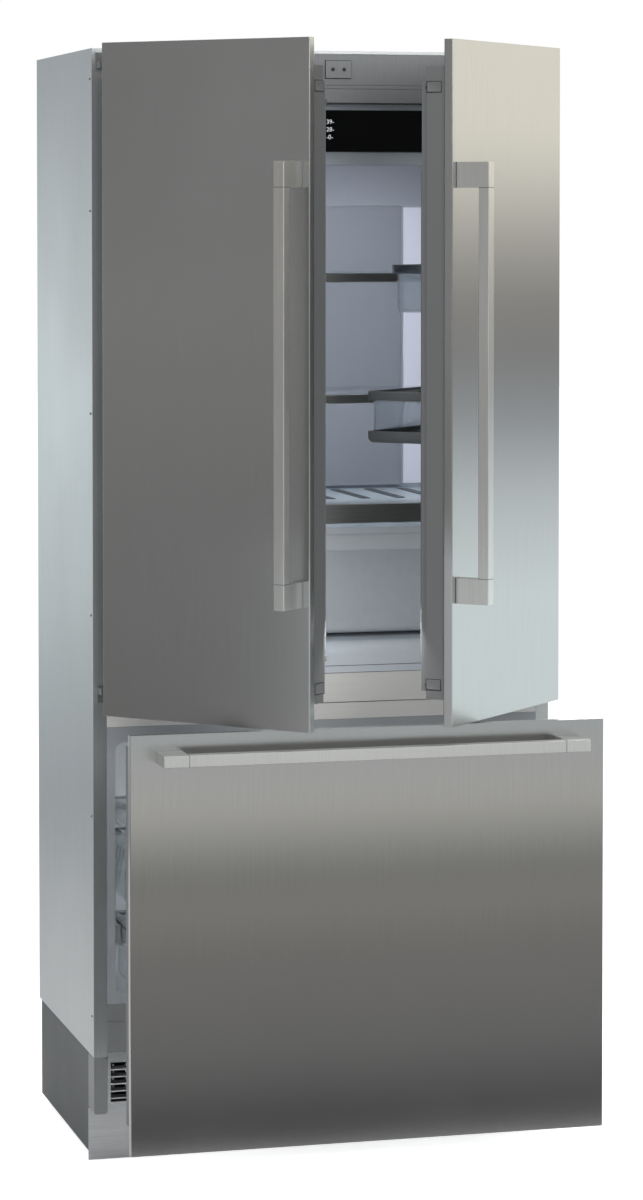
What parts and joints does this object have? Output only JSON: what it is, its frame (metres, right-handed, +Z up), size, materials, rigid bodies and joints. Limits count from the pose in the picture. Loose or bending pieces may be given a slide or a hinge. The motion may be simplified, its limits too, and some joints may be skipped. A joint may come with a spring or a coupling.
{
  "type": "french door refrigerator",
  "caption": "Tall built-in refrigerator with twin stainless doors over a bottom freezer drawer, bar handles, glass shelves, door bins and a recessed toe kick",
  "frame": {"origin": "centre of the bounding box in plan, at floor level, as the appliance stands with both doors 45.6 degrees open and the freezer drawer 262 mm out", "axes": "+X to the right-hand side seen from the front, +Y from the doors to the back, +Z up"},
  "size_m": [0.908, 0.9954, 2.1347],
  "materials": {
    "casing": "satin",
    "insulation": "matte",
    "liner": "satin",
    "grey_plastic": "satin",
    "control_glass": "gloss",
    "shelf_glass": "gloss",
    "stainless_trim": "satin",
    "stainless": "satin",
    "dark_metal": "matte",
    "bare_aluminium": "satin",
    "dark_plastic": "matte",
    "gasket": "matte",
    "clear_plastic": "gloss"
  },
  "bodies": {
    "cabinet": {"side_panel_left": "casing", "side_panel_right": "casing", "top_panel": "casing", "back_panel": "casing", "foam_insulation": "insulation", "fridge_liner": "liner", "freezer_liner": "grey_plastic", "header_cover": "grey_plastic", "divider_cover": "grey_plastic", "lower_rail": "grey_plastic", "flap_guide": "grey_plastic", "control_panel": "control_glass", "shelf_lower": "shelf_glass", "shelf_lower_trim": "stainless_trim", "shelf_upper": "shelf_glass", "shelf_upper_trim": "stainless_trim", "bottle_shelf": "liner", "bottle_shelf_trim": "stainless_trim", "air_duct_cover": "liner", "hinge_upper_left": "dark_metal", "hinge_lower_left": "dark_metal", "hinge_upper_right": "dark_metal", "hinge_lower_right": "dark_metal", "freezer_rail_left": "bare_aluminium", "freezer_rail_right": "bare_aluminium", "corner_cover_left": "grey_plastic", "corner_cover_right": "grey_plastic", "levelling_foot_left": "dark_plastic", "levelling_foot_right": "dark_plastic", "base_frame": "dark_metal", "vent_grille": "bare_aluminium", "toe_kick": "stainless", "rear_skid": "dark_plastic", "compressor": "dark_metal", "condenser": "bare_aluminium", "evaporator": "bare_aluminium", "power_inlet": "dark_plastic"},
    "crisper": {"crisper_bin": "clear_plastic", "crisper_handle": "liner"},
    "left_door": {"door_panel_left": "stainless", "door_body_left": "grey_plastic", "door_gasket_left": "gasket", "door_handle_left": "stainless", "door_bin_left_upper": "clear_plastic", "door_bin_left_lower": "clear_plastic"},
    "flap": {"centre_flap": "grey_plastic"},
    "right_door": {"door_panel_right": "stainless", "door_body_right": "grey_plastic", "door_gasket_right": "gasket", "door_handle_right": "stainless", "door_bin_right_upper": "clear_plastic", "door_bin_right_lower": "clear_plastic"},
    "freezer_drawer": {"drawer_panel": "stainless", "drawer_body": "grey_plastic", "drawer_gasket": "gasket", "drawer_handle": "stainless", "drawer_bin": "clear_plastic", "drawer_arm_left": "bare_aluminium", "drawer_arm_right": "bare_aluminium"},
    "freezer_tray": {"freezer_tray": "clear_plastic"}
  },
  "joints": [
    {"name": "left_door_hinge", "type": "hinge", "parent": "cabinet", "child": "left_door", "pos_m": [-0.461, -0.13829, 1.50485], "axis": [0, 0, -1], "range_deg": [-45.6, 64.4]},
    {"name": "right_door_hinge", "type": "hinge", "parent": "cabinet", "child": "right_door", "pos_m": [0.461, -0.13829, 1.50485], "axis": [0, 0, 1], "range_deg": [-45.6, 64.4]},
    {"name": "flap_pivot", "type": "hinge", "parent": "left_door", "child": "flap", "pos_m": [-0.09385, -0.39459, 1.51], "axis": [0, 0, 1], "range_deg": [-180, 0]},
    {"name": "freezer_drawer_slide", "type": "slide", "parent": "cabinet", "child": "freezer_drawer", "axis": [0, -1, 0], "range_m": [-0.262, 0.158]},
    {"name": "freezer_tray_slide", "type": "slide", "parent": "cabinet", "child": "freezer_tray", "axis": [0, -1, 0], "range_m": [0, 0.24]},
    {"name": "crisper_slide", "type": "slide", "parent": "cabinet", "child": "crisper", "axis": [0, -1, 0], "range_m": [0, 0.1]}
  ]
}
